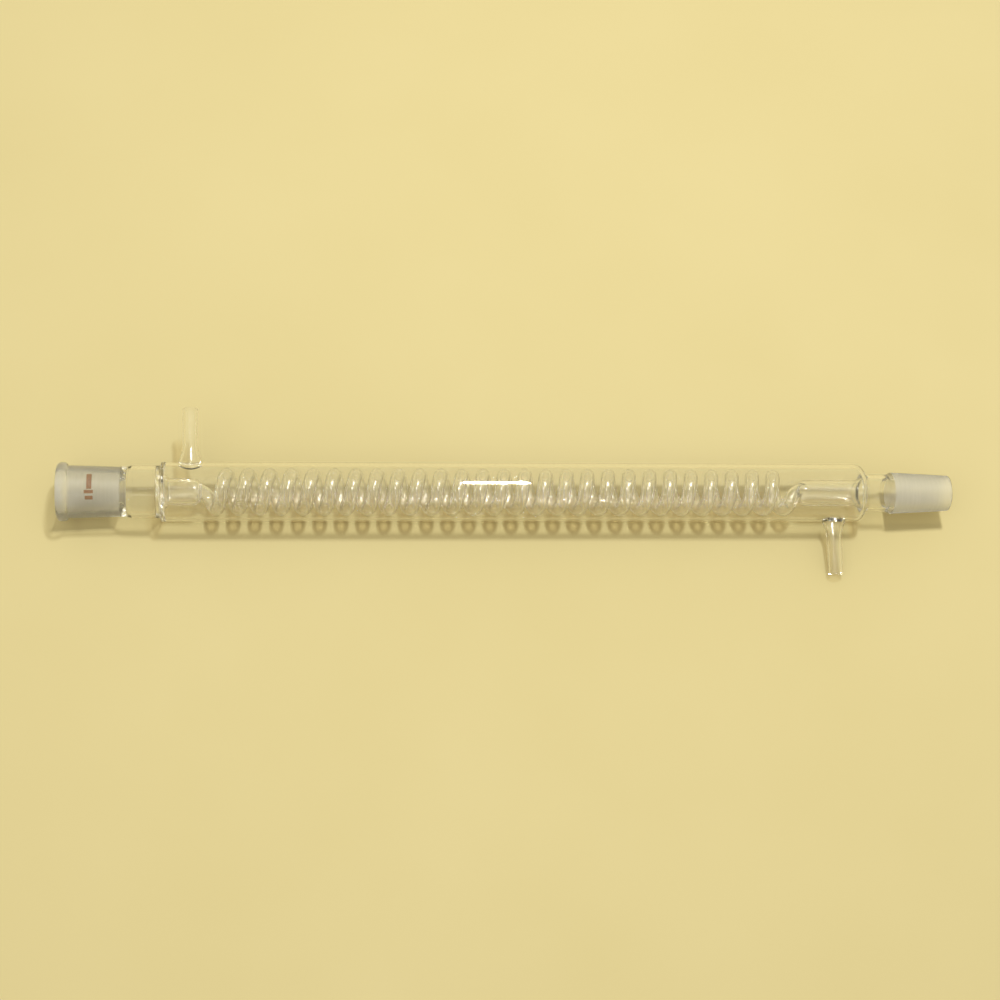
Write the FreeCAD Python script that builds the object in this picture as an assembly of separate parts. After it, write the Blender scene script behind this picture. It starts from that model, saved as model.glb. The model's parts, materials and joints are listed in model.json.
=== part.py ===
import FreeCAD, Part
import math
import os

# A laboratory coil condenser of clear glass, lying on a bench as it rests.
# Lengths are in millimetres and angles in degrees. A station is a distance along
# the axis from the mouth of the socket, and a radius is measured from that axis.

# Standard taper of the ground joints, size 29/42
taper_large_diameter = 29.2
taper_length = 42.0
taper_ratio = 0.1

# Socket joint and the wide tube behind it
socket_length = 46.4
socket_radius = 17.9
socket_waist_radius = 16.9
waist_length = 4.0
waist_round = 3.0
rim_bead_radius = 20.0
rim_bead_length = 8.0
rim_bead_round = 3.4
rim_blend = 1.2
mouth_round = 0.8
wide_tube_length = 23.0
wide_tube_wall = 2.0
taper_runout = 5.0

# Water jacket
jacket_length = 490.0
jacket_radius = 20.25
jacket_wall = 2.0
seal_blend = 0.9
jacket_shoulder_round = 1.3
jacket_dome_round = 6.0

# Drip tube and cone joint
drip_tube_length = 20.6
drip_tube_radius = 13.0
drip_tube_wall = 2.0
cone_wall = 2.2
cone_tip_round = 0.8
cone_shoulder_length = 4.0
cone_shoulder_round = 2.5

# Ring seals between the jacket and the inner tube
seal_stand_off = 3.0
inlet_throat_length = 7.5
inlet_throat_round = 3.0
outlet_throat_length = 8.0
outlet_throat_round = 2.0
throat_outer_round = 0.9
seal_stub_length = 4.0

# Straight ends of the inner tube
inner_tube_radius = 9.0
inner_tube_wall = 1.8
inner_tube_dome_round = 5.5

# Coil and the bends that lead into it
coil_turns = 27
coil_arcs_per_turn = 7
coil_tube_radius = 4.75
coil_tube_wall = 1.3
coil_clearance = 1.75
coil_inlet_setback = 37.5
coil_outlet_setback = 57.5
lead_length = 15.0
lead_overlap = 5.0
lead_clearance = 0.25
lead_start_angle = 240.0
coil_start_angle = 90.0

# Hose connections, one on each side of the jacket
hose_radius = 5.25
hose_wall = 1.5
hose_reach = 57.5
hose_root_radius = 8.0
hose_flare_height = 9.0
hose_flare_round = 18.0
hose_tip_round = 0.6
inlet_hose_setback = 19.5
outlet_hose_setback = 21.4

# Stations and radii that follow from the sizes above
taper_large_radius = taper_large_diameter / 2
taper_small_radius = (taper_large_diameter - taper_ratio * taper_length) / 2
wide_bore_radius = socket_radius - wide_tube_wall
jacket_bore_radius = jacket_radius - jacket_wall
drip_bore_radius = drip_tube_radius - drip_tube_wall
inner_bore_radius = inner_tube_radius - inner_tube_wall
jacket_start = socket_length + wide_tube_length
jacket_end = jacket_start + jacket_length
cone_start = jacket_end + drip_tube_length
overall_length = cone_start + taper_length
socket_seal = jacket_start - seal_stand_off
cone_seal = jacket_end + seal_stand_off
inlet_throat_end = socket_seal + inlet_throat_length
inlet_stub_end = inlet_throat_end + inner_tube_wall + seal_stub_length
outlet_throat_start = cone_seal - outlet_throat_length
outlet_stub_start = outlet_throat_start - inner_tube_wall - seal_stub_length
coil_start = jacket_start + coil_inlet_setback
coil_end = jacket_end - coil_outlet_setback
coil_pitch = (coil_end - coil_start) / coil_turns
coil_mean_radius = jacket_bore_radius - coil_clearance - coil_tube_radius
lead_offset = inner_tube_radius - coil_tube_radius - lead_clearance
inlet_hose_station = jacket_start + inlet_hose_setback
outlet_hose_station = jacket_end - outlet_hose_setback

# Directions, and the side of the axis that each hose connection stands on
origin = FreeCAD.Vector(0, 0, 0)
along = FreeCAD.Vector(1, 0, 0)
upward = FreeCAD.Vector(0, 0, 1)
rear_side = 1
front_side = -1


def rounded_corner(before, corner, after, radius):
    """Return the start, middle and end of a fillet between two straight sides."""
    back = (before - corner).normalize()
    ahead = (after - corner).normalize()
    bisector = (back + ahead).normalize()
    half_angle = back.getAngle(ahead) / 2
    reach = radius / math.tan(half_angle)
    centre = corner + bisector * (radius / math.sin(half_angle))
    return corner + back * reach, centre - bisector * radius, corner + ahead * reach


def outline(corners):
    """Return the closed face of corners given as station, radius and fillet."""
    places = [FreeCAD.Vector(station, 0, radius) for station, radius, fillet in corners]
    edges = []
    ends = []
    for index, (station, radius, fillet) in enumerate(corners):
        corner = places[index]
        after = places[(index + 1) % len(places)]
        start, end = corner, corner
        if fillet > 0:
            start, middle, end = rounded_corner(places[index - 1], corner, after, fillet)
            edges.append(Part.Arc(start, middle, end).toShape())
        ends.append((start, end))
    for index, (start, end) in enumerate(ends):
        next_start = ends[(index + 1) % len(ends)][0]
        edges.append(Part.makeLine(end, next_start))
    return Part.Face(Part.Wire(Part.__sortEdges__(edges)))


def turned(corners):
    """Return the solid that an outline makes when it is turned about the axis."""
    return outline(corners).revolve(origin, along, 360)


def joined(solids):
    """Return the one solid that several overlapping solids make together."""
    return solids[0].fuse(solids[1:]).removeSplitter().Solids[0]


def make_socket_joint():
    """The ground socket with its thick rim, and the wide tube up to the jacket."""
    swell = socket_length + waist_length
    relief = taper_length + taper_runout
    return turned([
        (0, taper_large_radius, mouth_round),
        (0, rim_bead_radius, rim_bead_round),
        (rim_bead_length, rim_bead_radius, rim_bead_round),
        (rim_bead_length, socket_radius, rim_blend),
        (socket_length, socket_waist_radius, waist_round),
        (swell, socket_radius, waist_round),
        (socket_seal, socket_radius, 0),
        (socket_seal, wide_bore_radius, 0),
        (relief, wide_bore_radius, 0),
        (taper_length, taper_small_radius, 0),
    ])


def make_cone_joint():
    """The ground cone that plugs into a socket, and the drip tube behind it."""
    shoulder = cone_start - cone_shoulder_length
    tip_bore_radius = taper_small_radius - cone_wall
    return turned([
        (cone_seal, drip_bore_radius, 0),
        (cone_seal, drip_tube_radius, 0),
        (shoulder, drip_tube_radius, cone_shoulder_round),
        (cone_start, taper_large_radius, cone_shoulder_round / 2),
        (overall_length, taper_small_radius, cone_tip_round),
        (overall_length, tip_bore_radius, cone_tip_round),
        (cone_start, drip_bore_radius, 0),
    ])


def jacket_outside():
    """The jacket's outer form, filled, with a shoulder at one end and a dome at the other."""
    return turned([
        (socket_seal, 0, 0),
        (socket_seal, socket_radius, 0),
        (jacket_start, socket_radius, seal_blend),
        (jacket_start, jacket_radius, jacket_shoulder_round),
        (jacket_end, jacket_radius, jacket_dome_round),
        (jacket_end, drip_tube_radius, seal_blend),
        (cone_seal, drip_tube_radius, 0),
        (cone_seal, 0, 0),
    ])


def inlet_throat():
    """The hollow that narrows from the wide tube to the inner tube."""
    return turned([
        (socket_seal, 0, 0),
        (socket_seal, wide_bore_radius, 0),
        (inlet_throat_end, inner_bore_radius, inlet_throat_round),
        (inlet_stub_end, inner_bore_radius, 0),
        (inlet_stub_end, 0, 0),
    ])


def outlet_throat():
    """The hollow that widens from the inner tube to the drip tube."""
    return turned([
        (outlet_stub_start, 0, 0),
        (outlet_stub_start, inner_bore_radius, 0),
        (outlet_throat_start, inner_bore_radius, outlet_throat_round),
        (cone_seal, drip_bore_radius, 0),
        (cone_seal, 0, 0),
    ])


def inlet_seal_places():
    """Where the water side of the inlet throat leaves the end wall and meets the tube.

    The wall of the throat keeps the thickness of the inner tube's wall, so its water
    side is the vapour side moved outwards by that much.
    """
    end_wall = jacket_start + jacket_wall
    steepness = inlet_throat_length / (wide_bore_radius - inner_bore_radius)
    shift = inner_tube_wall * math.hypot(1, steepness)
    neck = inlet_throat_end + shift - inner_tube_wall * steepness
    ring_radius = inner_tube_radius + (neck - end_wall) / steepness
    return end_wall, ring_radius, neck


def outlet_seal_places():
    """Where the water side of the outlet throat meets the tube and the end wall."""
    end_wall = jacket_end - jacket_wall
    rise = (drip_bore_radius - inner_bore_radius) / outlet_throat_length
    lift = inner_tube_wall * math.hypot(1, rise)
    ring_radius = inner_bore_radius + lift + (end_wall - outlet_throat_start) * rise
    neck = end_wall - (ring_radius - inner_tube_radius) / rise
    return end_wall, ring_radius, neck


def water_space():
    """The hollow between the jacket and the inner tube, coil included."""
    inlet_wall, inlet_ring_radius, inlet_neck = inlet_seal_places()
    outlet_wall, outlet_ring_radius, outlet_neck = outlet_seal_places()
    return turned([
        (inlet_stub_end, 0, 0),
        (inlet_stub_end, inner_tube_radius, 0),
        (inlet_neck, inner_tube_radius, throat_outer_round),
        (inlet_wall, inlet_ring_radius, throat_outer_round),
        (inlet_wall, jacket_bore_radius, jacket_shoulder_round),
        (outlet_wall, jacket_bore_radius, jacket_dome_round - jacket_wall),
        (outlet_wall, outlet_ring_radius, throat_outer_round),
        (outlet_neck, inner_tube_radius, throat_outer_round),
        (outlet_stub_start, inner_tube_radius, 0),
        (outlet_stub_start, 0, 0),
    ])


def stood_on_side(solid, station, side):
    """Turn a solid made along the axis so that it stands on one side of the jacket."""
    solid.rotate(origin, upward, 90 * side)
    solid.translate(along * station)
    return solid


def hose_port(station, side):
    """The hole through the jacket wall behind one hose connection."""
    port_radius = hose_root_radius - hose_wall
    port = Part.makeCylinder(port_radius, jacket_radius, origin, along)
    return stood_on_side(port, station, side)


def make_jacket():
    """The jacket with both ring seals and the two ports."""
    ports = [hose_port(inlet_hose_station, rear_side), hose_port(outlet_hose_station, front_side)]
    hollows = [inlet_throat(), outlet_throat(), water_space()]
    return jacket_outside().cut(hollows + ports).Solids[0]


def make_hose_connection(station, side):
    """A tube with a flared root, seated on the outside of the jacket."""
    bore_radius = hose_radius - hose_wall
    port_radius = hose_root_radius - hose_wall
    neck = jacket_radius + hose_flare_height
    tube = turned([
        (0, port_radius, 0),
        (0, hose_root_radius, 0),
        (jacket_radius, hose_root_radius, 0),
        (neck, hose_radius, hose_flare_round),
        (hose_reach, hose_radius, hose_tip_round),
        (hose_reach, bore_radius, hose_tip_round),
        (neck, bore_radius, hose_flare_round),
        (jacket_radius, port_radius, 0),
    ])
    tube = stood_on_side(tube, station, side)
    seat = Part.makeCylinder(jacket_radius, overall_length, origin, along)
    return max(tube.cut(seat).Solids, key=lambda solid: solid.Volume)


def beside_axis(angle, radius, station):
    """Return the point at an angle about the axis, counted from straight up."""
    return FreeCAD.Vector(station, radius * math.sin(angle), radius * math.cos(angle))


def coil_climb():
    """The angle between the coil's tube and a flat ring where two of its arcs meet."""
    half_step = math.pi / coil_arcs_per_turn
    half_advance = coil_pitch / coil_arcs_per_turn / 2
    return math.atan(half_advance / (coil_mean_radius * math.tan(half_step)))


def coil_arcs():
    """The coil's centre line: equal arcs that share a tangent where they meet."""
    step = 2 * math.pi / coil_arcs_per_turn
    advance = coil_pitch / coil_arcs_per_turn
    chord = math.hypot(2 * coil_mean_radius * math.sin(step / 2), advance)
    bend = 2 * math.asin(math.cos(coil_climb()) * math.sin(step / 2))
    bulge = chord / 2 * math.tan(bend / 4)
    middle_radius = coil_mean_radius * math.cos(step / 2) + bulge
    arcs = []
    for index in range(coil_turns * coil_arcs_per_turn):
        start = beside_axis(index * step, coil_mean_radius, coil_start + index * advance)
        middle = beside_axis((index + 0.5) * step, middle_radius, coil_start + (index + 0.5) * advance)
        end = beside_axis((index + 1) * step, coil_mean_radius, coil_start + (index + 1) * advance)
        arcs.append(Part.Arc(start, middle, end).toShape())
    return arcs


def arc_in_corner(start, corner, end):
    """Return the arc that runs from start to end, tangent to the two equal legs."""
    leg = (start - corner).Length
    half_angle = (start - corner).getAngle(end - corner) / 2
    start, middle, end = rounded_corner(start, corner, end, leg * math.tan(half_angle))
    return Part.Arc(start, middle, end).toShape()


def lead_arcs():
    """Two tangent arcs that swing the tube from the straight end out to the coil."""
    start = beside_axis(math.radians(lead_start_angle), lead_offset, coil_start - lead_length)
    end = beside_axis(0, coil_mean_radius, coil_start)
    climb = coil_climb()
    into_coil = FreeCAD.Vector(math.sin(climb), math.cos(climb), 0)
    span = end - start
    both = along + into_coil
    square = both.dot(both) - 4
    reach = span.dot(both)
    leg = (reach - math.sqrt(reach ** 2 - square * span.dot(span))) / square
    first_corner = start + along * leg
    second_corner = end - into_coil * leg
    meeting = (first_corner + second_corner) / 2
    return [arc_in_corner(start, first_corner, meeting), arc_in_corner(meeting, second_corner, end)]


def coil_path():
    """The whole centre line of the coil, with the same lead at both ends."""
    lead = lead_arcs()
    middle = along * ((coil_start + coil_end) / 2)
    tail = [arc.copy() for arc in reversed(lead)]
    for arc in tail:
        arc.rotate(middle, upward, 180)
    return lead + coil_arcs() + tail


def bar_along(arcs, radius):
    """Return the round bar that follows a chain of tangent arcs."""
    start = arcs[0].valueAt(arcs[0].FirstParameter)
    direction = arcs[0].tangentAt(arcs[0].FirstParameter)
    ring = Part.Wire(Part.makeCircle(radius, start, direction))
    return Part.Wire(arcs).makePipeShell([ring], True, False)


def straight_ends(wall):
    """The inner tube's two straight ends, filled and domed, made thinner by a wall."""
    radius = inner_tube_radius - wall
    dome_round = inner_tube_dome_round - wall
    inlet_dome = coil_start - lead_length + lead_overlap - wall
    outlet_dome = coil_end + lead_length - lead_overlap + wall
    inlet_end = turned([
        (inlet_stub_end, 0, 0),
        (inlet_stub_end, radius, 0),
        (inlet_dome, radius, dome_round),
        (inlet_dome, 0, 0),
    ])
    outlet_end = turned([
        (outlet_dome, 0, 0),
        (outlet_dome, radius, dome_round),
        (outlet_stub_start, radius, 0),
        (outlet_stub_start, 0, 0),
    ])
    return [inlet_end, outlet_end]


def make_inner_coil():
    """The inner tube: straight ends, leads and coil, hollow from end to end."""
    path = coil_path()
    outside = joined([bar_along(path, coil_tube_radius)] + straight_ends(0))
    inside = joined([bar_along(path, coil_tube_radius - coil_tube_wall)] + straight_ends(inner_tube_wall))
    coil = outside.cut(inside).Solids[0]
    coil.rotate(origin, along, coil_start_angle)
    return coil


def resting_angle():
    """The turn about the axis that brings the front tip down to the bench."""
    tip_reach = hose_reach - hose_tip_round
    tip_half_width = hose_radius - hose_tip_round
    axis_height = jacket_radius - hose_tip_round
    lean = math.asin(axis_height / math.hypot(tip_reach, tip_half_width))
    return math.degrees(lean - math.atan2(tip_half_width, tip_reach))


def laid_down(solid):
    """Place a solid as the condenser rests, centred over the origin."""
    solid.rotate(origin, along, resting_angle())
    solid.translate(FreeCAD.Vector(-overall_length / 2, 0, jacket_radius))
    return solid


parts = {
    "socket_joint": make_socket_joint(),
    "jacket": make_jacket(),
    "inner_coil": make_inner_coil(),
    "cone_joint": make_cone_joint(),
    "rear_hose_connection": make_hose_connection(inlet_hose_station, rear_side),
    "front_hose_connection": make_hose_connection(outlet_hose_station, front_side),
}

os.makedirs("parts", exist_ok=True)
for name, solid in parts.items():
    shape = laid_down(solid)
    shape.exportStep("parts/" + name + ".step")
    print(name, shape.isValid(), len(shape.Faces), round(shape.Volume, 1))
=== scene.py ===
import json
import logging
import math
from dataclasses import dataclass, field
from enum import Enum

import bmesh
import bpy
from mathutils import Matrix, Vector


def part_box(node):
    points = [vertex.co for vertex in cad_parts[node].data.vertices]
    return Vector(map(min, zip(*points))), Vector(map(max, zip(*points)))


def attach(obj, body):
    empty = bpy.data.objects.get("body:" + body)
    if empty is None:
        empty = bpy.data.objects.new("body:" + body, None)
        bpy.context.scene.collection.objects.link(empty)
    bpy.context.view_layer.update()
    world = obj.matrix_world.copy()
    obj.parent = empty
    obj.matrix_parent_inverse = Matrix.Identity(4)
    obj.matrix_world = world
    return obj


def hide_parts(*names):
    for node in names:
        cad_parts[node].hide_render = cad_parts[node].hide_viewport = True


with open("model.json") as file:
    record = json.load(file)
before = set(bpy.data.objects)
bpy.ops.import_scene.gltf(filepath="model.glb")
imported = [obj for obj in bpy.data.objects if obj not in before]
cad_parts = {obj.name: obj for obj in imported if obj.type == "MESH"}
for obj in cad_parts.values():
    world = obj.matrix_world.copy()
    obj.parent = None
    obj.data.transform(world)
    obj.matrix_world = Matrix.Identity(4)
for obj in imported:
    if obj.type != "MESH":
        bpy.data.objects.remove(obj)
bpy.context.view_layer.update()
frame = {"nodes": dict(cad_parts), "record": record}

log = logging.getLogger("condenser")

Colour = tuple[float, float, float]
Place = tuple[float, float, float]
Sides = tuple[float, float]

MILLIMETRE = 0.001
WELD_MM = 0.02
FULL_TURN = 2 * math.pi
ALONG = Vector((1, 0, 0))
UPWARD = Vector((0, 0, 1))
ROOT = "root"
# Most of a noise pattern lies between these two values.
NOISE_LOW = 0.3
NOISE_HIGH = 0.7
# How far glass is turned away before its shadow deepens: 0 is face on, 1 is edge on.
GLANCING = 0.35


class Finish(Enum):
    """The finishes of the glass, in the order of its material slots."""

    CLEAR = 0
    GROUND = 1
    BENT = 2


class Combine(Enum):
    """How two closed shapes are put together."""

    UNION = "UNION"
    DIFFERENCE = "DIFFERENCE"


class Skin(Enum):
    """The two skins of a glass tube."""

    OUTSIDE = 0
    BORE = 1


class Side(Enum):
    """The side of the axis that a hose connection stands on."""

    REAR = 1
    FRONT = -1


@dataclass(frozen=True)
class Corner:
    """One corner of a turned outline.

    Args:
        station: distance along the axis from the mouth of the socket, in mm.
        radius: distance from the axis, in mm.
        fillet: radius of its rounding, in mm, or 0 for a sharp corner.
    """

    station: float
    radius: float
    fillet: float = 0.0

    def place(self) -> Vector:
        """Return the corner as a point above the axis."""
        return Vector((self.station, 0, self.radius))


def outline(corners: list[Corner], closed: bool, segments: int = 5) -> bmesh.types.BMesh:
    """Draw corners as a chain of edges and round those that have a fillet.

    Args:
        corners: the outline's corners in order.
        closed: whether the last corner joins the first.
        segments: edges in each rounding.

    Returns:
        A bmesh that holds only the chain.
    """
    chain = bmesh.new()
    points = [chain.verts.new(corner.place()) for corner in corners]
    followers = points[1:] + points[:1] if closed else points[1:]
    for point, follower in zip(points, followers):
        chain.edges.new((point, follower))
    for point, corner in zip(points, corners):
        if corner.fillet > 0:
            before, after = [edge.other_vert(point).co - corner.place() for edge in point.link_edges]
            reach = corner.fillet / math.tan(before.angle(after) / 2)
            bmesh.ops.bevel(chain, geom=[point], offset=reach, offset_type="OFFSET", segments=segments,
                            profile=0.5, affect="VERTICES", material=-1)
    return chain


def turned(corners: list[Corner], steps: int, closed: bool = True) -> bmesh.types.BMesh:
    """Turn an outline once about the axis.

    Args:
        corners: the outline's corners in order.
        steps: facets round the axis.
        closed: whether the outline closes on itself. An open one ends on the axis.

    Returns:
        The turned shape, with its faces pointing out.
    """
    shape = outline(corners, closed)
    bmesh.ops.spin(shape, geom=shape.verts[:] + shape.edges[:], cent=(0, 0, 0), axis=ALONG,
                   angle=FULL_TURN, steps=steps, use_merge=True)
    bmesh.ops.remove_doubles(shape, verts=shape.verts[:], dist=WELD_MM)
    bmesh.ops.recalc_face_normals(shape, faces=shape.faces[:])
    return shape


def as_object(shape: bmesh.types.BMesh, name: str) -> bpy.types.Object:
    """Turn a bmesh into an object in the scene and free the bmesh.

    Args:
        shape: the bmesh, which is used up.
        name: the object's name.

    Returns:
        The new object.
    """
    mesh = bpy.data.meshes.new(name)
    shape.to_mesh(mesh)
    shape.free()
    made = bpy.data.objects.new(name, mesh)
    bpy.context.scene.collection.objects.link(made)
    return made


def combined(base: bmesh.types.BMesh, tool: bmesh.types.BMesh, how: Combine) -> bmesh.types.BMesh:
    """Put two closed shapes together and free both.

    Args:
        base: the shape that is kept or cut.
        tool: the shape that is added or taken away.
        how: union or difference.

    Returns:
        The new closed shape.
    """
    base_object = as_object(base, "base")
    tool_object = as_object(tool, "tool")
    modifier = base_object.modifiers.new("combine", "BOOLEAN")
    modifier.operation = how.value
    modifier.solver = "EXACT"
    modifier.object = tool_object
    graph = bpy.context.evaluated_depsgraph_get()
    result = bmesh.new()
    result.from_object(base_object, graph)
    for used in (base_object, tool_object):
        bpy.data.meshes.remove(used.data)
    return result


def added(base: bmesh.types.BMesh, other: bmesh.types.BMesh) -> None:
    """Copy another shape's faces into base and free the other shape.

    Args:
        base: the shape that grows.
        other: the shape that is used up.
    """
    mesh = bpy.data.meshes.new("carrier")
    other.to_mesh(mesh)
    other.free()
    base.from_mesh(mesh)
    bpy.data.meshes.remove(mesh)


@dataclass
class Resting:
    """How the condenser lies on the bench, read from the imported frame."""

    record: dict = field(default_factory=lambda: frame["record"])

    def lean(self) -> float:
        """Return the turn about the axis that puts the front tip on the bench."""
        rear = next(mount for mount in self.record["mounts"] if mount["name"] == "rear_hose")
        return math.atan2(rear["axis"][2], rear["axis"][1])

    def placement(self, length: float) -> Matrix:
        """Return the transform from millimetres along the axis to the frame.

        Args:
            length: overall length of the condenser, in mm.

        Returns:
            The matrix that turns, scales and lays a shape down.
        """
        low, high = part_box("jacket")
        height = (low.z + high.z) / 2
        lift = Matrix.Translation((0, 0, height))
        turn = Matrix.Rotation(self.lean(), 4, "X")
        centre = Matrix.Translation((-length / 2, 0, 0))
        return lift @ Matrix.Scale(MILLIMETRE, 4) @ turn @ centre


@dataclass
class SocketJoint:
    """The ground socket with its thick rim, and the wide tube behind it. Sizes in mm."""

    taper_radius: float = 14.6
    taper_end_radius: float = 12.5
    taper_length: float = 42.0
    length: float = 46.4
    radius: float = 17.9
    waist_radius: float = 16.9
    waist_length: float = 4.0
    waist_round: float = 3.0
    rim_radius: float = 20.0
    rim_length: float = 8.0
    rim_round: float = 3.4
    rim_blend: float = 1.2
    mouth_round: float = 0.8
    tube_length: float = 23.0
    tube_wall: float = 2.0
    runout: float = 5.0
    runout_round: float = 2.0
    taper_end_round: float = 1.5
    ground_overrun: float = 1.0

    @property
    def bore(self) -> float:
        """Inner radius of the wide tube."""
        return self.radius - self.tube_wall

    @property
    def end(self) -> float:
        """Station where the jacket starts."""
        return self.length + self.tube_length

    def inside(self) -> list[Corner]:
        """List the corners of the vapour side.

        Returns:
            The corners from the wide tube to the mouth.
        """
        return [
            Corner(self.taper_length + self.runout, self.bore, self.runout_round),
            Corner(self.taper_length, self.taper_end_radius, self.taper_end_round),
            Corner(0, self.taper_radius, self.mouth_round),
        ]

    def outside(self) -> list[Corner]:
        """List the corners of the outside.

        Returns:
            The corners from the mouth to the wide tube.
        """
        return [
            Corner(0, self.rim_radius, self.rim_round),
            Corner(self.rim_length, self.rim_radius, self.rim_round),
            Corner(self.rim_length, self.radius, self.rim_blend),
            Corner(self.length, self.waist_radius, self.waist_round),
            Corner(self.length + self.waist_length, self.radius, self.waist_round),
        ]

    def is_ground(self, station: float, radius: float) -> bool:
        """Say whether a place lies on the ground inside of the taper."""
        return self.mouth_round < station < self.taper_length + self.ground_overrun and radius < self.bore


@dataclass
class ConeJoint:
    """The ground cone and the drip tube behind it. Sizes in mm."""

    base_radius: float = 14.6
    tip_radius: float = 12.5
    length: float = 42.0
    wall: float = 2.2
    tip_round: float = 0.8
    shoulder_length: float = 4.0
    shoulder_round: float = 2.5
    tube_length: float = 20.6
    tube_radius: float = 13.0
    tube_wall: float = 2.0
    ground_overrun: float = 0.4

    @property
    def bore(self) -> float:
        """Inner radius of the drip tube."""
        return self.tube_radius - self.tube_wall

    def outside(self, jacket_end: float) -> list[Corner]:
        """List the corners of the outside.

        Args:
            jacket_end: station where the drip tube starts.

        Returns:
            The corners from the drip tube to the tip.
        """
        start = jacket_end + self.tube_length
        return [
            Corner(start - self.shoulder_length, self.tube_radius, self.shoulder_round),
            Corner(start, self.base_radius, self.shoulder_round / 2),
            Corner(start + self.length, self.tip_radius, self.tip_round),
        ]

    def inside(self, jacket_end: float) -> list[Corner]:
        """List the corners of the bore.

        Args:
            jacket_end: station where the drip tube starts.

        Returns:
            The corners from the tip to the drip tube.
        """
        start = jacket_end + self.tube_length
        return [
            Corner(start + self.length, self.tip_radius - self.wall, self.tip_round),
            Corner(start, self.bore, 0),
        ]

    def is_ground(self, station: float, radius: float, jacket_end: float) -> bool:
        """Say whether a place lies on the ground outside of the taper.

        Args:
            station: the place's station.
            radius: its distance from the axis.
            jacket_end: station where the drip tube starts.

        Returns:
            True on the ground face.
        """
        start = jacket_end + self.tube_length
        on_taper = start - self.ground_overrun < station < start + self.length - self.tip_round
        return on_taper and radius > self.bore


@dataclass
class Jacket:
    """The water jacket with a ring seal at each end. Sizes in mm."""

    length: float = 490.0
    radius: float = 20.25
    wall: float = 2.0
    shoulder_blend: float = 0.9
    shoulder_round: float = 1.3
    dome_round: float = 6.0
    seal_stand_off: float = 3.0
    seal_round: float = 1.0
    inlet_throat_length: float = 7.5
    inlet_throat_round: float = 3.0
    outlet_throat_length: float = 8.0
    outlet_throat_round: float = 2.0
    throat_round: float = 0.9
    stub_length: float = 4.0

    @property
    def bore(self) -> float:
        """Inner radius of the jacket."""
        return self.radius - self.wall

    def outside(self, start: float, socket: SocketJoint, cone: ConeJoint) -> list[Corner]:
        """List the corners of the outside.

        Args:
            start: station where the jacket starts.
            socket: the socket joint, from whose wide tube it widens.
            cone: the cone joint, to whose drip tube it narrows.

        Returns:
            The corners from the wide tube to the drip tube.
        """
        end = start + self.length
        return [
            Corner(start, socket.radius, self.shoulder_blend),
            Corner(start, self.radius, self.shoulder_round),
            Corner(end, self.radius, self.dome_round),
            Corner(end, cone.tube_radius, self.shoulder_blend),
        ]


@dataclass
class HoseConnection:
    """A tube with a flared root on one side of the jacket. Sizes in mm."""

    station: float
    side: Side
    radius: float = 5.25
    wall: float = 1.5
    reach: float = 57.5
    root_radius: float = 8.0
    flare_height: float = 9.0
    flare_round: float = 18.0
    tip_round: float = 0.6
    overcut: float = 2.0
    steps: int = 56

    def placement(self) -> Matrix:
        """Return the turn and shift from the axis to the connection's own place."""
        quarter = Matrix.Rotation(math.radians(90 * self.side.value), 4, "Z")
        return Matrix.Translation((self.station, 0, 0)) @ quarter

    def outer(self, jacket: Jacket) -> bmesh.types.BMesh:
        """Build the filled outer form, cut to sit inside the jacket's wall.

        Args:
            jacket: the jacket that it stands on.

        Returns:
            A closed shape without a bore.
        """
        neck = jacket.radius + self.flare_height
        form = turned([
            Corner(jacket.radius / 2, 0),
            Corner(jacket.radius / 2, self.root_radius),
            Corner(jacket.radius, self.root_radius),
            Corner(neck, self.radius, self.flare_round),
            Corner(self.reach, self.radius, self.tip_round),
            Corner(self.reach, 0),
        ], self.steps, closed=False)
        bmesh.ops.transform(form, matrix=self.placement(), verts=form.verts[:])
        middle_of_wall = jacket.radius - jacket.wall / 2
        core_start = self.station - 2 * self.root_radius
        core_end = self.station + 2 * self.root_radius
        core = turned([
            Corner(core_start, 0),
            Corner(core_start, middle_of_wall),
            Corner(core_end, middle_of_wall),
            Corner(core_end, 0),
        ], 2 * self.steps, closed=False)
        return combined(form, core, Combine.DIFFERENCE)

    def bore(self, jacket: Jacket) -> bmesh.types.BMesh:
        """Build the form that cuts the bore, from inside the jacket to beyond the tip.

        Args:
            jacket: the jacket that it opens into.

        Returns:
            A closed shape.
        """
        neck = jacket.radius + self.flare_height
        bore_radius = self.radius - self.wall
        form = turned([
            Corner(jacket.radius / 2, 0),
            Corner(jacket.radius / 2, self.root_radius - self.wall),
            Corner(jacket.radius, self.root_radius - self.wall),
            Corner(neck, bore_radius, self.flare_round),
            Corner(self.reach, bore_radius, self.tip_round),
            Corner(self.reach, bore_radius + self.tip_round),
            Corner(self.reach + self.overcut, bore_radius + self.tip_round),
            Corner(self.reach + self.overcut, 0),
        ], self.steps, closed=False)
        bmesh.ops.transform(form, matrix=self.placement(), verts=form.verts[:])
        return form


@dataclass(frozen=True)
class Bend:
    """One round bend of a tube's centre line.

    Args:
        centre: middle of the bend's circle.
        axis: direction that the tube turns about.
        angle: how far it turns, in radians.
    """

    centre: Vector
    axis: Vector
    angle: float

    @staticmethod
    def in_corner(start: Vector, corner: Vector, end: Vector) -> "Bend":
        """Return the bend that touches two equal legs at their far ends.

        Args:
            start: end of the first leg, where the bend starts.
            corner: where the legs meet.
            end: end of the second leg, where the bend ends.

        Returns:
            The bend from start to end.
        """
        first = corner - start
        second = end - corner
        axis = first.cross(second).normalized()
        angle = first.angle(second)
        radius = first.length / math.tan(angle / 2)
        return Bend(start + axis.cross(first).normalized() * radius, axis, angle)


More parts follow.
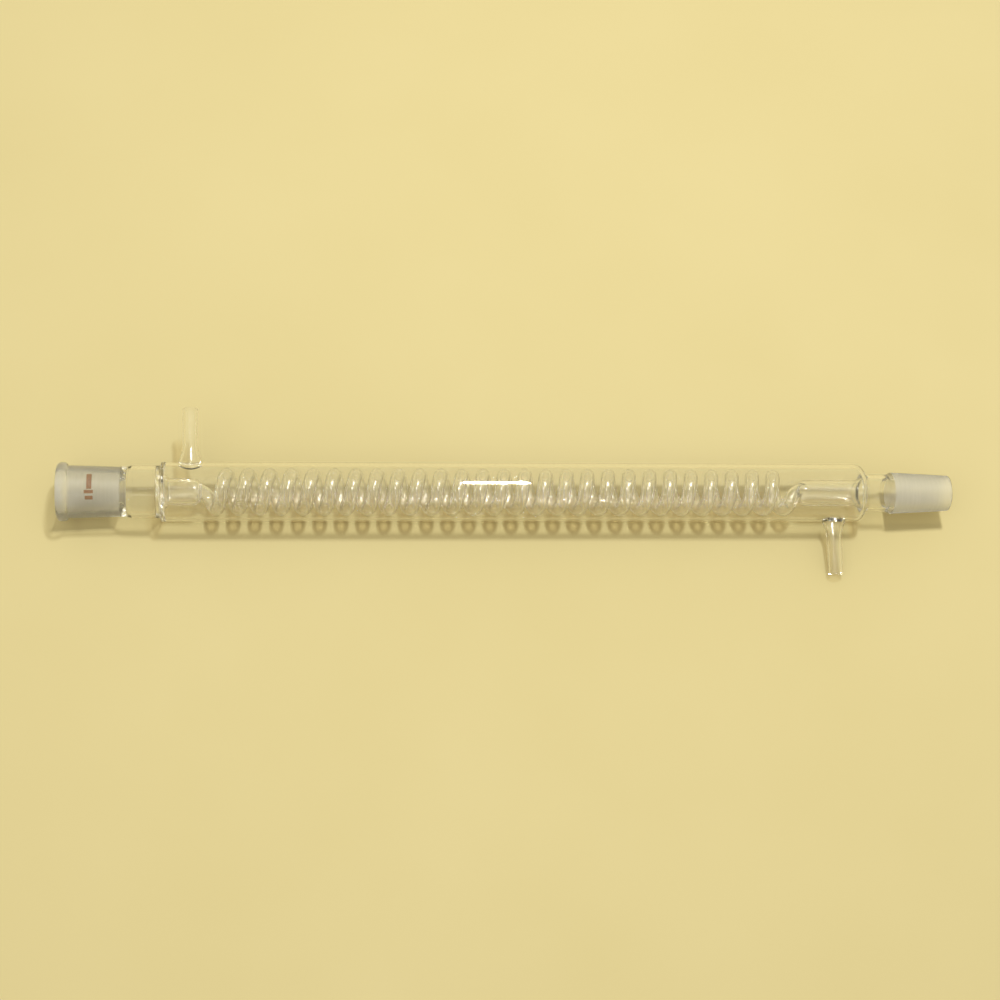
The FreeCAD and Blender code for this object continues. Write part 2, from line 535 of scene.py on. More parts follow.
@dataclass
class InnerCoil:
    """The inner tube: two straight ends, and a coil with a lead at each end. Sizes in mm."""

    jacket_start: float
    jacket_end: float
    jacket_bore: float
    tube_radius: float = 9.0
    tube_wall: float = 1.8
    dome_round: float = 5.5
    turns: int = 27
    steps_per_turn: int = 42
    coil_tube_radius: float = 4.75
    coil_tube_wall: float = 1.3
    clearance: float = 1.75
    inlet_setback: float = 37.5
    outlet_setback: float = 57.5
    lead_length: float = 15.0
    lead_overlap: float = 5.0
    lead_clearance: float = 0.25
    lead_angle: float = 240.0
    start_angle: float = 90.0
    end_length: float = 14.0
    arc_steps: int = 12
    outer_segments: int = 24
    bore_segments: int = 20

    @property
    def start(self) -> float:
        """Station where the coil starts."""
        return self.jacket_start + self.inlet_setback

    @property
    def end(self) -> float:
        """Station where the coil ends."""
        return self.jacket_end - self.outlet_setback

    @property
    def dome(self) -> float:
        """Station of the tip of the inlet's dome."""
        return self.start - self.lead_length + self.lead_overlap

    @property
    def back(self) -> float:
        """Station where the inlet's straight tube starts, before it is lengthened."""
        return self.dome - self.end_length

    @property
    def pitch(self) -> float:
        """Advance of one turn."""
        return (self.end - self.start) / self.turns

    @property
    def mean_radius(self) -> float:
        """Distance from the axis to the middle of the coil's tube."""
        return self.jacket_bore - self.clearance - self.coil_tube_radius

    @property
    def into_coil(self) -> Vector:
        """Direction of the tube where the coil starts."""
        climb = math.atan(self.pitch / (FULL_TURN * self.mean_radius))
        return Vector((math.sin(climb), math.cos(climb), 0))

    @property
    def coil_place(self) -> Vector:
        """Middle of the tube where the coil starts."""
        return Vector((self.start, 0, self.mean_radius))

    def depths(self, skin: Skin) -> tuple[float, float]:
        """Return how deep a skin lies in the straight tube's glass and in the coil's."""
        return skin.value * self.tube_wall, skin.value * self.coil_tube_wall

    def lead(self) -> list[Bend]:
        """Work out the two bends that swing the tube from the straight end into the coil.

        All legs are equally long, and the bends meet halfway between their corners.

        Returns:
            The bend at the straight end, then the bend at the coil.
        """
        angle = math.radians(self.lead_angle)
        offset = self.tube_radius - self.coil_tube_radius - self.lead_clearance
        start = Vector((self.start - self.lead_length, offset * math.sin(angle), offset * math.cos(angle)))
        end = self.coil_place
        span = end - start
        both = ALONG + self.into_coil
        square = both.dot(both) - 4
        reach = span.dot(both)
        leg = (reach - math.sqrt(reach ** 2 - square * span.dot(span))) / square
        first_corner = start + ALONG * leg
        second_corner = end - self.into_coil * leg
        meeting = (first_corner + second_corner) / 2
        return [Bend.in_corner(start, first_corner, meeting), Bend.in_corner(meeting, second_corner, end)]

    def ring(self, skin: Skin) -> bmesh.types.BMesh:
        """Draw the round section of the tube where the coil starts.

        Args:
            skin: the outside or the bore.

        Returns:
            A bmesh that holds only the ring.
        """
        segments = self.outer_segments if skin is Skin.OUTSIDE else self.bore_segments
        _, depth = self.depths(skin)
        across = UPWARD.cross(self.into_coil)
        turn = Matrix((across, UPWARD, self.into_coil)).transposed().to_4x4()
        ring = bmesh.new()
        bmesh.ops.create_circle(ring, segments=segments, radius=self.coil_tube_radius - depth,
                                matrix=Matrix.Translation(self.coil_place) @ turn)
        return ring

    def lead_bar(self, skin: Skin) -> bmesh.types.BMesh:
        """Sweep the ring back through both bends, to inside the straight end.

        Args:
            skin: the outside or the bore.

        Returns:
            The lead as a closed, filled shape.
        """
        bar = self.ring(skin)
        last = bar.verts[:] + bar.edges[:]
        for bend in reversed(self.lead()):
            spun = bmesh.ops.spin(bar, geom=last, cent=bend.centre, axis=bend.axis, angle=-bend.angle,
                                  steps=self.arc_steps)
            last = spun["geom_last"]
        bmesh.ops.holes_fill(bar, edges=[edge for edge in bar.edges if edge.is_boundary])
        bmesh.ops.recalc_face_normals(bar, faces=bar.faces[:])
        return bar

    def straight_end(self, skin: Skin, steps: int) -> bmesh.types.BMesh:
        """Join the lead to the domed end of the straight tube.

        Args:
            skin: the outside or the bore.
            steps: facets round the axis.

        Returns:
            The skin of the inlet's end, open at the back and where the coil starts.
        """
        depth, _ = self.depths(skin)
        radius = self.tube_radius - depth
        tip = self.dome - depth
        tube = turned([
            Corner(self.back, 0),
            Corner(self.back, radius),
            Corner(tip, radius, self.dome_round - depth),
            Corner(tip, 0),
        ], steps, closed=False)
        shape = combined(tube, self.lead_bar(skin), Combine.UNION)
        open_end(shape, ALONG * self.back, ALONG, self.tube_radius)
        open_end(shape, self.coil_place, self.into_coil, self.coil_tube_radius)
        return shape

    def surface(self, skin: Skin, steps: int, inlet_stub: float, outlet_stub: float) -> bmesh.types.BMesh:
        """Build one skin of the whole inner tube.

        Args:
            skin: the outside or the bore.
            steps: facets round the axis.
            inlet_stub: station where the tube meets the inlet seal.
            outlet_stub: station where it meets the outlet seal.

        Returns:
            The skin from stub to stub, open at both.
        """
        coil = self.ring(skin)
        bmesh.ops.spin(coil, geom=coil.verts[:] + coil.edges[:], cent=(0, 0, 0), axis=ALONG,
                       angle=-self.turns * FULL_TURN, steps=self.turns * self.steps_per_turn,
                       dvec=ALONG * (self.pitch / self.steps_per_turn))
        inlet = self.straight_end(skin, steps)
        outlet = inlet.copy()
        middle = Matrix.Translation(ALONG * ((self.start + self.end) / 2))
        swap = middle @ Matrix.Rotation(math.pi, 4, "Z") @ middle.inverted()
        bmesh.ops.transform(outlet, matrix=swap, verts=outlet.verts[:])
        extend(inlet, self.back, inlet_stub)
        extend(outlet, self.start + self.end - self.back, outlet_stub)
        added(coil, inlet)
        added(coil, outlet)
        bmesh.ops.remove_doubles(coil, verts=coil.verts[:], dist=WELD_MM)
        bmesh.ops.rotate(coil, cent=(0, 0, 0), verts=coil.verts[:],
                         matrix=Matrix.Rotation(math.radians(self.start_angle), 3, "X"))
        return coil


def open_end(shape: bmesh.types.BMesh, place: Vector, normal: Vector, reach: float) -> None:
    """Delete the flat cap that closes one end of a shape.

    Args:
        shape: the closed shape.
        place: a point on the cap.
        normal: the cap's direction.
        reach: how far from the place the cap may go.
    """
    flat = {vert for vert in shape.verts
            if abs((vert.co - place).dot(normal)) < WELD_MM and (vert.co - place).length < reach + WELD_MM}
    caps = [face for face in shape.faces if flat.issuperset(face.verts)]
    bmesh.ops.delete(shape, geom=caps, context="FACES")


def extend(shape: bmesh.types.BMesh, station: float, target: float) -> None:
    """Lengthen an open tube at one end.

    Args:
        shape: the tube.
        station: station of its open ring.
        target: station that the ring is drawn out to.
    """
    ring = [edge for edge in shape.edges
            if edge.is_boundary and all(abs(vert.co.x - station) < WELD_MM for vert in edge.verts)]
    grown = bmesh.ops.extrude_edge_only(shape, edges=ring)
    moved = [item for item in grown["geom"] if isinstance(item, bmesh.types.BMVert)]
    bmesh.ops.translate(shape, vec=ALONG * (target - station), verts=moved)


@dataclass(frozen=True)
class Speckle:
    """A noise pattern in object space.

    Args:
        scale: grains in a metre.
        stretch: how much longer a grain is along the condenser than across it.
        detail: octaves.
    """

    scale: float
    stretch: float = 1.0
    detail: float = 3.0

    def output(self, tree: bpy.types.NodeTree) -> bpy.types.NodeSocket:
        """Add the pattern's nodes.

        Args:
            tree: the material's nodes.

        Returns:
            The socket with the pattern's value.
        """
        coordinates = tree.nodes.new("ShaderNodeTexCoord")
        mapping = tree.nodes.new("ShaderNodeMapping")
        noise = tree.nodes.new("ShaderNodeTexNoise")
        mapping.inputs["Scale"].default_value = (1 / self.stretch, 1, 1)
        noise.inputs["Scale"].default_value = self.scale
        noise.inputs["Detail"].default_value = self.detail
        tree.links.new(coordinates.outputs["Object"], mapping.inputs["Vector"])
        tree.links.new(mapping.outputs["Vector"], noise.inputs["Vector"])
        return noise.outputs["Fac"]

    def ranged(self, tree: bpy.types.NodeTree, low: float, high: float) -> bpy.types.NodeSocket:
        """Let the pattern wander between two numbers.

        Args:
            tree: the material's nodes.
            low: the number where the pattern is low.
            high: the number where it is high.

        Returns:
            The socket with the number.
        """
        spread = tree.nodes.new("ShaderNodeMapRange")
        spread.inputs["From Min"].default_value = NOISE_LOW
        spread.inputs["From Max"].default_value = NOISE_HIGH
        spread.inputs["To Min"].default_value = low
        spread.inputs["To Max"].default_value = high
        tree.links.new(self.output(tree), spread.inputs["Value"])
        return spread.outputs["Result"]

    def tinted(self, tree: bpy.types.NodeTree, first: Colour, second: Colour) -> bpy.types.NodeSocket:
        """Let the pattern wander between two colours.

        Args:
            tree: the material's nodes.
            first: the colour where the pattern is low.
            second: the colour where it is high.

        Returns:
            The socket with the colour.
        """
        ramp = tree.nodes.new("ShaderNodeValToRGB")
        ramp.color_ramp.elements[0].position = NOISE_LOW
        ramp.color_ramp.elements[1].position = NOISE_HIGH
        ramp.color_ramp.elements[0].color = (*first, 1)
        ramp.color_ramp.elements[1].color = (*second, 1)
        tree.links.new(self.output(tree), ramp.inputs["Fac"])
        return ramp.outputs["Color"]


def new_material(name: str) -> tuple[bpy.types.Material, bpy.types.NodeTree, bpy.types.Node]:
    """Add a material that has a Principled shader.

    Args:
        name: the material's name.

    Returns:
        The material, its nodes and its shader.
    """
    material = bpy.data.materials.new(name)
    material.use_nodes = True
    tree = material.node_tree
    return material, tree, tree.nodes["Principled BSDF"]


def roughened(tree: bpy.types.NodeTree, shader: bpy.types.Node, height: bpy.types.NodeSocket,
              strength: float, depth: float) -> None:
    """Give a shader a bump.

    Args:
        tree: the material's nodes.
        shader: the shader that gets the bump.
        height: the pattern.
        strength: share of the full effect.
        depth: height of the pattern, in metres.
    """
    bump = tree.nodes.new("ShaderNodeBump")
    bump.inputs["Strength"].default_value = strength
    bump.inputs["Distance"].default_value = depth
    tree.links.new(height, bump.inputs["Height"])
    tree.links.new(bump.outputs["Normal"], shader.inputs["Normal"])


def lets_lamps_through(tree: bpy.types.NodeTree, shader: bpy.types.Node, face_on: Colour,
                       edge_on: Colour) -> None:
    """Let lamps shine through a glass shader, less so where the glass is met edge on.

    Args:
        tree: the material's nodes.
        shader: the glass shader.
        face_on: colour that passes straight through.
        edge_on: colour that passes at a grazing angle.
    """
    path = tree.nodes.new("ShaderNodeLightPath")
    weight = tree.nodes.new("ShaderNodeLayerWeight")
    ramp = tree.nodes.new("ShaderNodeValToRGB")
    film = tree.nodes.new("ShaderNodeBsdfTransparent")
    mix = tree.nodes.new("ShaderNodeMixShader")
    ramp.color_ramp.elements[0].position = GLANCING
    ramp.color_ramp.elements[0].color = (*face_on, 1)
    ramp.color_ramp.elements[1].color = (*edge_on, 1)
    tree.links.new(weight.outputs["Facing"], ramp.inputs["Fac"])
    tree.links.new(ramp.outputs["Color"], film.inputs["Color"])
    tree.links.new(path.outputs["Is Shadow Ray"], mix.inputs["Fac"])
    tree.links.new(shader.outputs["BSDF"], mix.inputs[1])
    tree.links.new(film.outputs["BSDF"], mix.inputs[2])
    output = tree.nodes["Material Output"]
    tree.links.new(mix.outputs["Shader"], output.inputs["Surface"])


@dataclass(frozen=True)
class ClearGlass:
    """Fire-polished borosilicate glass, with faint draw lines along its length."""

    name: str = "clear_glass"
    refraction: float = 1.474
    pale: Colour = (1.0, 1.0, 1.0)
    deep: Colour = (0.995, 0.995, 0.988)
    face_on: Colour = (0.97, 0.965, 0.945)
    edge_on: Colour = (0.52, 0.48, 0.39)
    waves: Speckle = Speckle(scale=320.0, stretch=14.0)
    wave_strength: float = 0.05
    wave_height: float = 0.0001
    smudges: Speckle = Speckle(scale=45.0)

    def make(self) -> bpy.types.Material:
        """Make the finish.

        Returns:
            The material.
        """
        material, tree, shader = new_material(self.name)
        shader.inputs["Transmission Weight"].default_value = 1.0
        shader.inputs["IOR"].default_value = self.refraction
        tree.links.new(self.smudges.tinted(tree, self.pale, self.deep), shader.inputs["Base Color"])
        self.polish(tree, shader)
        roughened(tree, shader, self.waves.output(tree), self.wave_strength, self.wave_height)
        lets_lamps_through(tree, shader, self.face_on, self.edge_on)
        return material

    def polish(self, tree: bpy.types.NodeTree, shader: bpy.types.Node) -> None:
        """Make the surface fully smooth, so that the lamp shows in it as one crisp line."""
        shader.inputs["Roughness"].default_value = 0.0


@dataclass(frozen=True)
class BentGlass(ClearGlass):
    """The same glass worked in a flame, which leaves it a little uneven and less polished."""

    name: str = "bent_glass"
    face_on: Colour = (0.955, 0.935, 0.89)
    edge_on: Colour = (0.62, 0.56, 0.44)
    smoothest: float = 0.10
    roughest: float = 0.14
    waves: Speckle = Speckle(scale=210.0)

    def polish(self, tree: bpy.types.NodeTree, shader: bpy.types.Node) -> None:
        """Let the polish differ from place to place."""
        tree.links.new(self.smudges.ranged(tree, self.smoothest, self.roughest), shader.inputs["Roughness"])


@dataclass(frozen=True)
class GroundGlass:
    """Glass ground to a white frost, with the faint rings that the grinding leaves."""

    refraction: float = 1.474
    see_through: float = 0.82
    pale: Colour = (1.0, 1.0, 0.99)
    deep: Colour = (0.90, 0.91, 0.90)
    face_on: Colour = (0.60, 0.57, 0.50)
    edge_on: Colour = (0.36, 0.33, 0.27)
    smoothest: float = 0.45
    roughest: float = 0.6
    grit: Speckle = Speckle(scale=2600.0)
    grit_strength: float = 0.35
    grit_height: float = 0.0002
    rings: Speckle = Speckle(scale=60.0, stretch=0.1)

    def make(self) -> bpy.types.Material:
        """Make the finish.

        Returns:
            The material.
        """
        material, tree, shader = new_material("ground_glass")
        shader.inputs["Transmission Weight"].default_value = self.see_through
        shader.inputs["IOR"].default_value = self.refraction
        tree.links.new(self.rings.tinted(tree, self.pale, self.deep), shader.inputs["Base Color"])
        tree.links.new(self.rings.ranged(tree, self.smoothest, self.roughest), shader.inputs["Roughness"])
        roughened(tree, shader, self.grit.output(tree), self.grit_strength, self.grit_height)
        lets_lamps_through(tree, shader, self.face_on, self.edge_on)
        return material


@dataclass(frozen=True)
class FiredInk:
    """Thin red-brown ink fired on to the glass, whose shadow the frost behind it spreads."""

    pale: Colour = (0.34, 0.19, 0.09)
    deep: Colour = (0.24, 0.125, 0.055)
    through: Colour = (0.88, 0.86, 0.85)
    smoothest: float = 0.35
    roughest: float = 0.6
    mottle: Speckle = Speckle(scale=900.0)

    def make(self) -> bpy.types.Material:
        """Make the finish.

        Returns:
            The material.
        """
        material, tree, shader = new_material("fired_ink")
        tree.links.new(self.mottle.tinted(tree, self.pale, self.deep), shader.inputs["Base Color"])
        tree.links.new(self.mottle.ranged(tree, self.smoothest, self.roughest), shader.inputs["Roughness"])
        lets_lamps_through(tree, shader, self.through, self.through)
        return material


@dataclass(frozen=True)
class BenchTop:
    """A plain pale bench top."""

    pale: Colour = (0.78, 0.65, 0.30)
    deep: Colour = (0.765, 0.635, 0.288)
    gloss: float = 0.2
    smoothest: float = 0.7
    roughest: float = 0.85
    cloud: Speckle = Speckle(scale=6.0)

    def make(self) -> bpy.types.Material:
        """Make the finish.

        Returns:
            The material.
        """
        material, tree, shader = new_material("bench_top")
        shader.inputs["Specular IOR Level"].default_value = self.gloss
        tree.links.new(self.cloud.tinted(tree, self.pale, self.deep), shader.inputs["Base Color"])
        tree.links.new(self.cloud.ranged(tree, self.smoothest, self.roughest), shader.inputs["Roughness"])
        return material


@dataclass
class Condenser:
    """The whole condenser: one fused piece of clear glass with two ground joints. Sizes in mm."""

    resting: Resting = field(default_factory=Resting)
    socket: SocketJoint = field(default_factory=SocketJoint)
    jacket: Jacket = field(default_factory=Jacket)
    cone: ConeJoint = field(default_factory=ConeJoint)
    inlet_hose_setback: float = 19.5
    outlet_hose_setback: float = 21.4
    hose_margin: float = 1.75
    cut_spacing: float = 1.0
    steps: int = 112
    smooth_limit: float = 38.0

    def __post_init__(self) -> None:
        """Place the pieces that follow from the others."""
        self.jacket_end = self.socket.end + self.jacket.length
        self.length = self.jacket_end + self.cone.tube_length + self.cone.length
        self.coil = InnerCoil(self.socket.end, self.jacket_end, self.jacket.bore)
        self.hoses = [
            HoseConnection(self.socket.end + self.inlet_hose_setback, Side.REAR),
            HoseConnection(self.jacket_end - self.outlet_hose_setback, Side.FRONT),
        ]
        self.inlet_seal = self.socket.end - self.jacket.seal_stand_off
        self.outlet_seal = self.jacket_end + self.jacket.seal_stand_off
        self.inlet_throat = self.inlet_seal + self.jacket.inlet_throat_length
        self.outlet_throat = self.outlet_seal - self.jacket.outlet_throat_length
        self.inlet_stub = self.inlet_throat + self.coil.tube_wall + self.jacket.stub_length
        self.outlet_stub = self.outlet_throat - self.coil.tube_wall - self.jacket.stub_length

    def vapour_side(self) -> list[Corner]:
        """Follow the glass out through the socket, over the outside and in through the cone.

        Returns:
            The corners from the inlet stub to the outlet stub.
        """
        bore = self.coil.tube_radius - self.coil.tube_wall
        return [
            Corner(self.inlet_stub, bore),
            Corner(self.inlet_throat, bore, self.jacket.inlet_throat_round),
            Corner(self.inlet_seal, self.socket.bore, self.jacket.seal_round),
            *self.socket.inside(),
            *self.socket.outside(),
            *self.jacket.outside(self.socket.end, self.socket, self.cone),
            *self.cone.outside(self.jacket_end),
            *self.cone.inside(self.jacket_end),
            Corner(self.outlet_seal, self.cone.bore, self.jacket.seal_round),
            Corner(self.outlet_throat, bore, self.jacket.outlet_throat_round),
            Corner(self.outlet_stub, bore),
        ]

    def water_side(self) -> list[Corner]:
        """Follow the water space back, with walls as thick at both throats as on the inner tube.

        Returns:
            The corners from the outlet stub to the inlet stub.
        """
        jacket = self.jacket
        radius = self.coil.tube_radius
        wall = self.coil.tube_wall
        bore = radius - wall
        inlet_wall = self.socket.end + jacket.wall
        outlet_wall = self.jacket_end - jacket.wall
        steepness = jacket.inlet_throat_length / (self.socket.bore - bore)
        inlet_neck = self.inlet_throat + wall * (math.hypot(1, steepness) - steepness)
        inlet_ring = radius + (inlet_neck - inlet_wall) / steepness
        rise = (self.cone.bore - bore) / jacket.outlet_throat_length
        outlet_ring = bore + wall * math.hypot(1, rise) + (outlet_wall - self.outlet_throat) * rise
        outlet_neck = outlet_wall - (outlet_ring - radius) / rise
        return [
            Corner(self.outlet_stub, radius),
            Corner(outlet_neck, radius, jacket.throat_round),
            Corner(outlet_wall, outlet_ring, jacket.throat_round),
            Corner(outlet_wall, jacket.bore, jacket.dome_round - jacket.wall),
            Corner(inlet_wall, jacket.bore, jacket.shoulder_round),
            Corner(inlet_wall, inlet_ring, jacket.throat_round),
            Corner(inlet_neck, radius, jacket.throat_round),
            Corner(self.inlet_stub, radius),
        ]

    def shell(self) -> bmesh.types.BMesh:
        """Build the socket, jacket and cone as one wall, with both hose connections.

        The jacket's long facets are cut short near the hose connections first, so that
        they meet the roots in small, even faces.

        Returns:
            The wall, open at both stubs.
        """
        shell = turned(self.vapour_side() + self.water_side(), self.steps)
        for hose in self.hoses:
            loops = int(2 * hose.root_radius / self.cut_spacing)
            for index in range(-loops, loops + 1):
                place = ALONG * (hose.station + index * self.cut_spacing)
                bmesh.ops.bisect_plane(shell, geom=shell.verts[:] + shell.edges[:] + shell.faces[:],
                                       plane_co=place, plane_no=ALONG)
        for hose in self.hoses:
            shell = combined(shell, hose.outer(self.jacket), Combine.UNION)
            shell = combined(shell, hose.bore(self.jacket), Combine.DIFFERENCE)
        open_end(shell, ALONG * self.inlet_stub, ALONG, self.coil.tube_radius)
        open_end(shell, ALONG * self.outlet_stub, ALONG, self.coil.tube_radius)
        return shell

    def fused(self) -> bmesh.types.BMesh:
        """Seal both skins of the inner coil to the shell.

        Returns:
            The closed glass.
        """
        glass = self.shell()
        for skin in Skin:
            added(glass, self.coil.surface(skin, self.steps, self.inlet_stub, self.outlet_stub))
        bmesh.ops.remove_doubles(glass, verts=glass.verts[:], dist=WELD_MM)
        bmesh.ops.recalc_face_normals(glass, faces=glass.faces[:])
        return glass

    def finish_of(self, face: bmesh.types.BMFace) -> Finish:
        """Tell a face's finish: ground on the tapers, bent where a flame has worked, else clear.

        Args:
            face: a face of the glass, before it is laid down.

        Returns:
            The finish.
        """
        middle = face.calc_center_median()
        radius = math.hypot(middle.y, middle.z)
        if self.socket.is_ground(middle.x, radius) or self.cone.is_ground(middle.x, radius, self.jacket_end):
            return Finish.GROUND
        shoulder_end = self.socket.end + self.jacket.wall + self.jacket.shoulder_round
        shoulder = self.inlet_seal < middle.x < shoulder_end
        dome = self.jacket_end - self.jacket.dome_round < middle.x < self.outlet_seal
        coil_reach = self.jacket.bore - self.coil.clearance / 2
        coil = self.inlet_seal < middle.x < self.outlet_seal and radius < coil_reach
        hose = radius > self.jacket.radius + self.hose_margin
        if shoulder or dome or coil or hose:
            return Finish.BENT
        return Finish.CLEAR

    def build(self) -> bpy.types.Object:
        """Build the glass, dress it and lay it down.

        Returns:
            The piece, which stands for all the nodes.
        """
        glass = self.fused()
        open_edges = sum(edge.is_boundary or not edge.is_manifold for edge in glass.edges)
        log.info("glass: %d faces, %d open edges, %.0f cubic mm",
                 len(glass.faces), open_edges, glass.calc_volume(signed=True))
        for face in glass.faces:
            face.smooth = True
            face.material_index = self.finish_of(face).value
        bmesh.ops.transform(glass, matrix=self.resting.placement(self.length), verts=glass.verts[:])
        piece = as_object(glass, "condenser_glass")
        piece.data.set_sharp_from_angle(angle=math.radians(self.smooth_limit))
        weighted = piece.modifiers.new("even_shading", "WEIGHTED_NORMAL")
        weighted.keep_sharp = True
        for finish in (ClearGlass(), GroundGlass(), BentGlass()):
            piece.data.materials.append(finish.make())
        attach(piece, ROOT)
        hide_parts(*frame["nodes"])
        return piece


@dataclass(frozen=True)
class Bar:
    """One plain bar of the printed mark.

    Args:
        station: its middle, in mm from the mouth.
        width: its size along the condenser, in mm.
        low: where it starts round the socket, in degrees up from the front.
        high: where it ends.
    """

    station: float
    width: float
    low: float
    high: float


@dataclass
class SizeMark:
    """A plain printed mark on the socket: three bars with no letters."""

    condenser: Condenser
    bars: tuple[Bar, ...] = (
        Bar(22.6, 3.4, 72.0, 107.0),
        Bar(22.3, 6.0, 62.5, 69.5),
        Bar(22.5, 5.2, 49.0, 57.0),
    )
    sink: float = 0.02
    thickness: float = 0.06
    degrees_per_step: float = 1.5

    def build(self) -> bpy.types.Object:
        """Build the bars on the socket's outside.

        Returns:
            The piece.
        """
        mark = bmesh.new()
        radius = self.condenser.socket.radius - self.sink
        for bar in self.bars:
            half = bar.width / 2
            ends = [mark.verts.new((bar.station + side * half, -radius, 0)) for side in (-1, 1)]
            edge = mark.edges.new(ends)
            turn = Matrix.Rotation(math.radians(-bar.low), 3, "X")
            bmesh.ops.rotate(mark, cent=(0, 0, 0), matrix=turn, verts=ends)
            steps = round((bar.high - bar.low) / self.degrees_per_step)
            bmesh.ops.spin(mark, geom=[*ends, edge], cent=(0, 0, 0), axis=ALONG,
                           angle=math.radians(bar.low - bar.high), steps=steps)
        bmesh.ops.recalc_face_normals(mark, faces=mark.faces[:])
        bmesh.ops.solidify(mark, geom=mark.faces[:], thickness=-self.thickness)
        lean = Matrix.Rotation(-self.condenser.resting.lean(), 4, "X")
        bmesh.ops.transform(mark, matrix=self.condenser.resting.placement(self.condenser.length) @ lean,
                            verts=mark.verts[:])
        bmesh.ops.recalc_face_normals(mark, faces=mark.faces[:])
        piece = as_object(mark, "printed_mark")
        piece.data.materials.append(FiredInk().make())
        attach(piece, ROOT)
        return piece


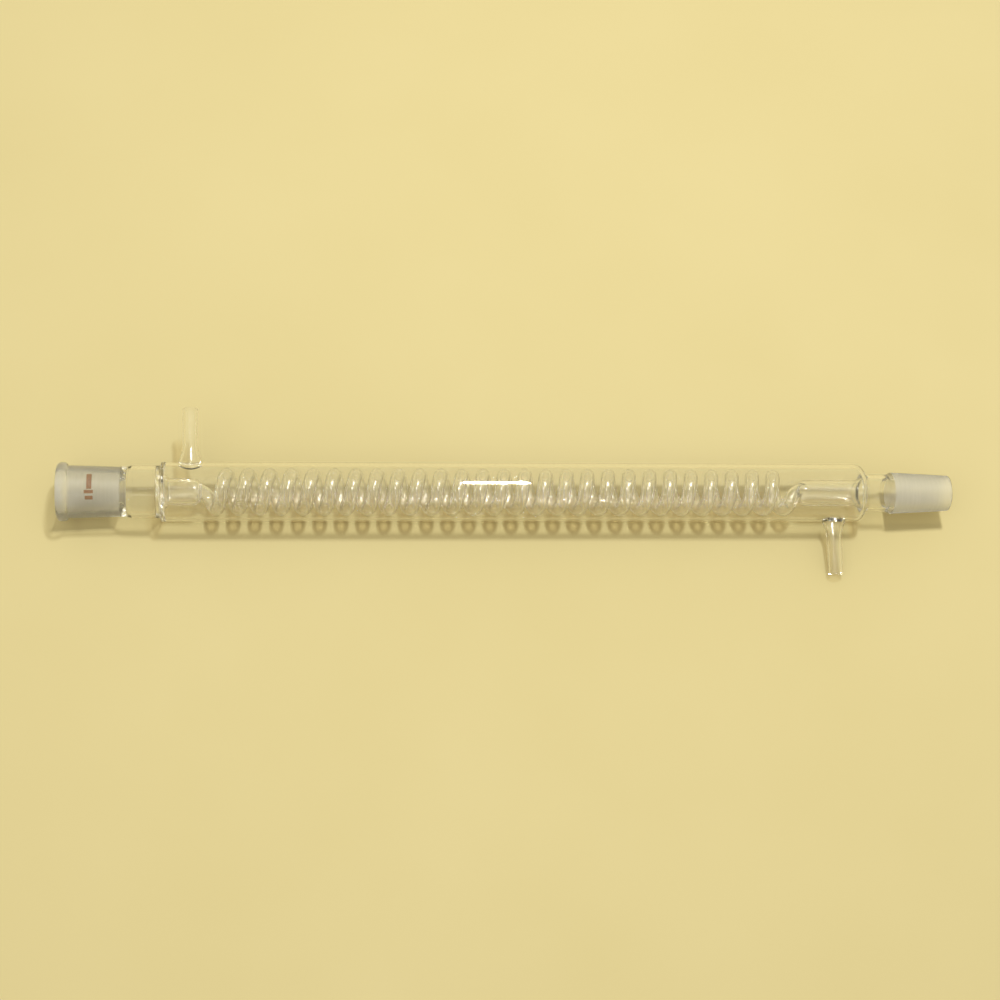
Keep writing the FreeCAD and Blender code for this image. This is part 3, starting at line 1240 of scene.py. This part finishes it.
@dataclass
class Studio:
    """The plain bench, the lamps and the world. Sizes in metres."""

    bench_side: float = 3.6
    bench_squares: int = 8
    key_place: Place = (0.2575, 0.60, 2.15)
    key_sides: Sides = (0.117, 0.26)
    key_power: float = 33.0
    fill_place: Place = (-1.3, -1.0, 2.0)
    fill_sides: Sides = (1.8, 1.8)
    fill_power: float = 9.0
    glow: Colour = (0.333, 0.337, 0.34)
    backdrop: Colour = (0.86, 0.77, 0.46)
    glass_bounces: int = 40
    gloss_bounces: int = 12
    shadow_bounces: int = 64
    brightest_sample: float = 120.0

    def bench(self) -> bpy.types.Object:
        """Build the bench top.

        Returns:
            The bench top.
        """
        top = bmesh.new()
        bmesh.ops.create_grid(top, x_segments=self.bench_squares, y_segments=self.bench_squares,
                              size=self.bench_side / 2)
        piece = as_object(top, "bench_top")
        piece.data.materials.append(BenchTop().make())
        return piece

    def lamp(self, name: str, place: Place, sides: Sides, power: float) -> bpy.types.Object:
        """Add a soft lamp that faces the condenser.

        Args:
            name: the lamp's name.
            place: where it hangs.
            sides: its size along the condenser and across it.
            power: its power, in watts.

        Returns:
            The lamp.
        """
        light = bpy.data.lights.new(name, "AREA")
        light.shape = "RECTANGLE"
        light.size, light.size_y = sides
        light.energy = power
        lamp = bpy.data.objects.new(name, light)
        lamp.location = place
        along, across, height = place
        lamp.rotation_euler = (-math.atan2(across, height), math.atan2(along, math.hypot(across, height)), 0)
        bpy.context.scene.collection.objects.link(lamp)
        return lamp

    def world(self) -> None:
        """Set a soft white glow that the camera, gloss and glass see as a pale yellow backdrop."""
        world = bpy.data.worlds.new("studio")
        world.use_nodes = True
        tree = world.node_tree
        path = tree.nodes.new("ShaderNodeLightPath")
        seen = self.either(tree, path.outputs["Is Camera Ray"], path.outputs["Is Glossy Ray"])
        seen = self.either(tree, seen, path.outputs["Is Transmission Ray"])
        light = tree.nodes.new("ShaderNodeValToRGB")
        light.color_ramp.elements[0].color = (*self.glow, 1)
        light.color_ramp.elements[1].color = (*self.backdrop, 1)
        tree.links.new(seen, light.inputs["Fac"])
        tree.links.new(light.outputs["Color"], tree.nodes["Background"].inputs["Color"])
        bpy.context.scene.world = world

    @staticmethod
    def either(tree: bpy.types.NodeTree, first: bpy.types.NodeSocket,
               second: bpy.types.NodeSocket) -> bpy.types.NodeSocket:
        """Add a node that gives the larger of two values.

        Args:
            tree: the world's nodes.
            first: one value.
            second: the other value.

        Returns:
            The socket with the larger value.
        """
        larger = tree.nodes.new("ShaderNodeMath")
        larger.operation = "MAXIMUM"
        tree.links.new(first, larger.inputs[0])
        tree.links.new(second, larger.inputs[1])
        return larger.outputs["Value"]

    def light_paths(self) -> None:
        """Let light go through all the walls of the glass that lie behind one another."""
        cycles = bpy.context.scene.cycles
        cycles.max_bounces = self.glass_bounces
        cycles.transmission_bounces = self.glass_bounces
        cycles.glossy_bounces = self.gloss_bounces
        cycles.transparent_max_bounces = self.shadow_bounces
        cycles.caustics_refractive = False
        cycles.caustics_reflective = False
        cycles.sample_clamp_indirect = self.brightest_sample

    def build(self) -> None:
        """Build the bench, lamps and world."""
        self.bench()
        self.lamp("key_lamp", self.key_place, self.key_sides, self.key_power)
        self.lamp("fill_lamp", self.fill_place, self.fill_sides, self.fill_power)
        self.world()
        self.light_paths()
        bpy.context.scene.view_settings.view_transform = "Standard"


@dataclass
class Viewpoint:
    """The camera: above and in front of the condenser, a little to its left."""

    distance: float = 1.4
    elevation: float = 65.0
    swing: float = 17.22
    roll: float = 15.77
    focal_pixels: float = 2025.0
    frame_pixels: float = 1000.0
    sensor: float = 36.0
    aim: Place = (-0.0101, -0.0057, 0.02025)

    def build(self) -> bpy.types.Object:
        """Add the camera and make it the scene's.

        Returns:
            The camera.
        """
        data = bpy.data.cameras.new("viewpoint")
        data.sensor_width = self.sensor
        data.lens = self.sensor * self.focal_pixels / self.frame_pixels
        camera = bpy.data.objects.new("viewpoint", data)
        elevation = math.radians(self.elevation)
        swing = math.radians(self.swing)
        ahead = Vector((math.sin(swing) * math.cos(elevation), math.cos(swing) * math.cos(elevation),
                        -math.sin(elevation)))
        turn = ahead.to_track_quat("-Z", "Y").to_matrix().to_4x4()
        roll = Matrix.Rotation(math.radians(self.roll), 4, "Z")
        camera.matrix_world = Matrix.Translation(Vector(self.aim) - ahead * self.distance) @ turn @ roll
        bpy.context.scene.collection.objects.link(camera)
        bpy.context.scene.camera = camera
        return camera


def main() -> None:
    """Build the camera, the condenser and the studio."""
    logging.basicConfig(level=logging.INFO)
    log.info("camera: %s", Viewpoint().build().name)
    condenser = Condenser()
    log.info("piece: %s", condenser.build().name)
    log.info("piece: %s", SizeMark(condenser).build().name)
    Studio().build()


if __name__ == "__main__":
    main()
